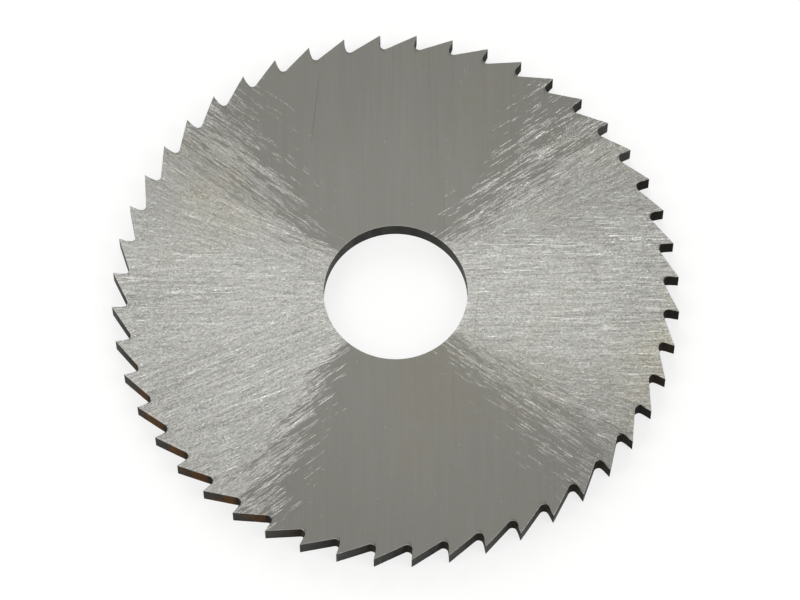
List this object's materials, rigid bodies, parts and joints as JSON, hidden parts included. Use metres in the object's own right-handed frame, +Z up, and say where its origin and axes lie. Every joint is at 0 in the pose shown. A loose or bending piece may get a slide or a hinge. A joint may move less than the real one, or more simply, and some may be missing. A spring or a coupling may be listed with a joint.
{
  "type": "slitting saw",
  "caption": "Thin steel disc saw with raked triangular teeth round its rim, hollow-ground sides and a plain round bore; cuts narrow slots in metal.",
  "frame": {"origin": "on the axis of the bore, level with the lowest points of the teeth, with the saw lying flat", "axes": "+Z up along the axis of the bore; +X through a tooth tip; seen from +Z the teeth point clockwise"},
  "size_m": [0.063, 0.063, 0.0025],
  "materials": {
    "ground_steel": "ground high-speed steel, fine scratches running out from the bore, darker on the walls of the teeth and bore"
  },
  "bodies": {
    "root": {"slitting_saw": "ground_steel"}
  },
  "joints": []
}
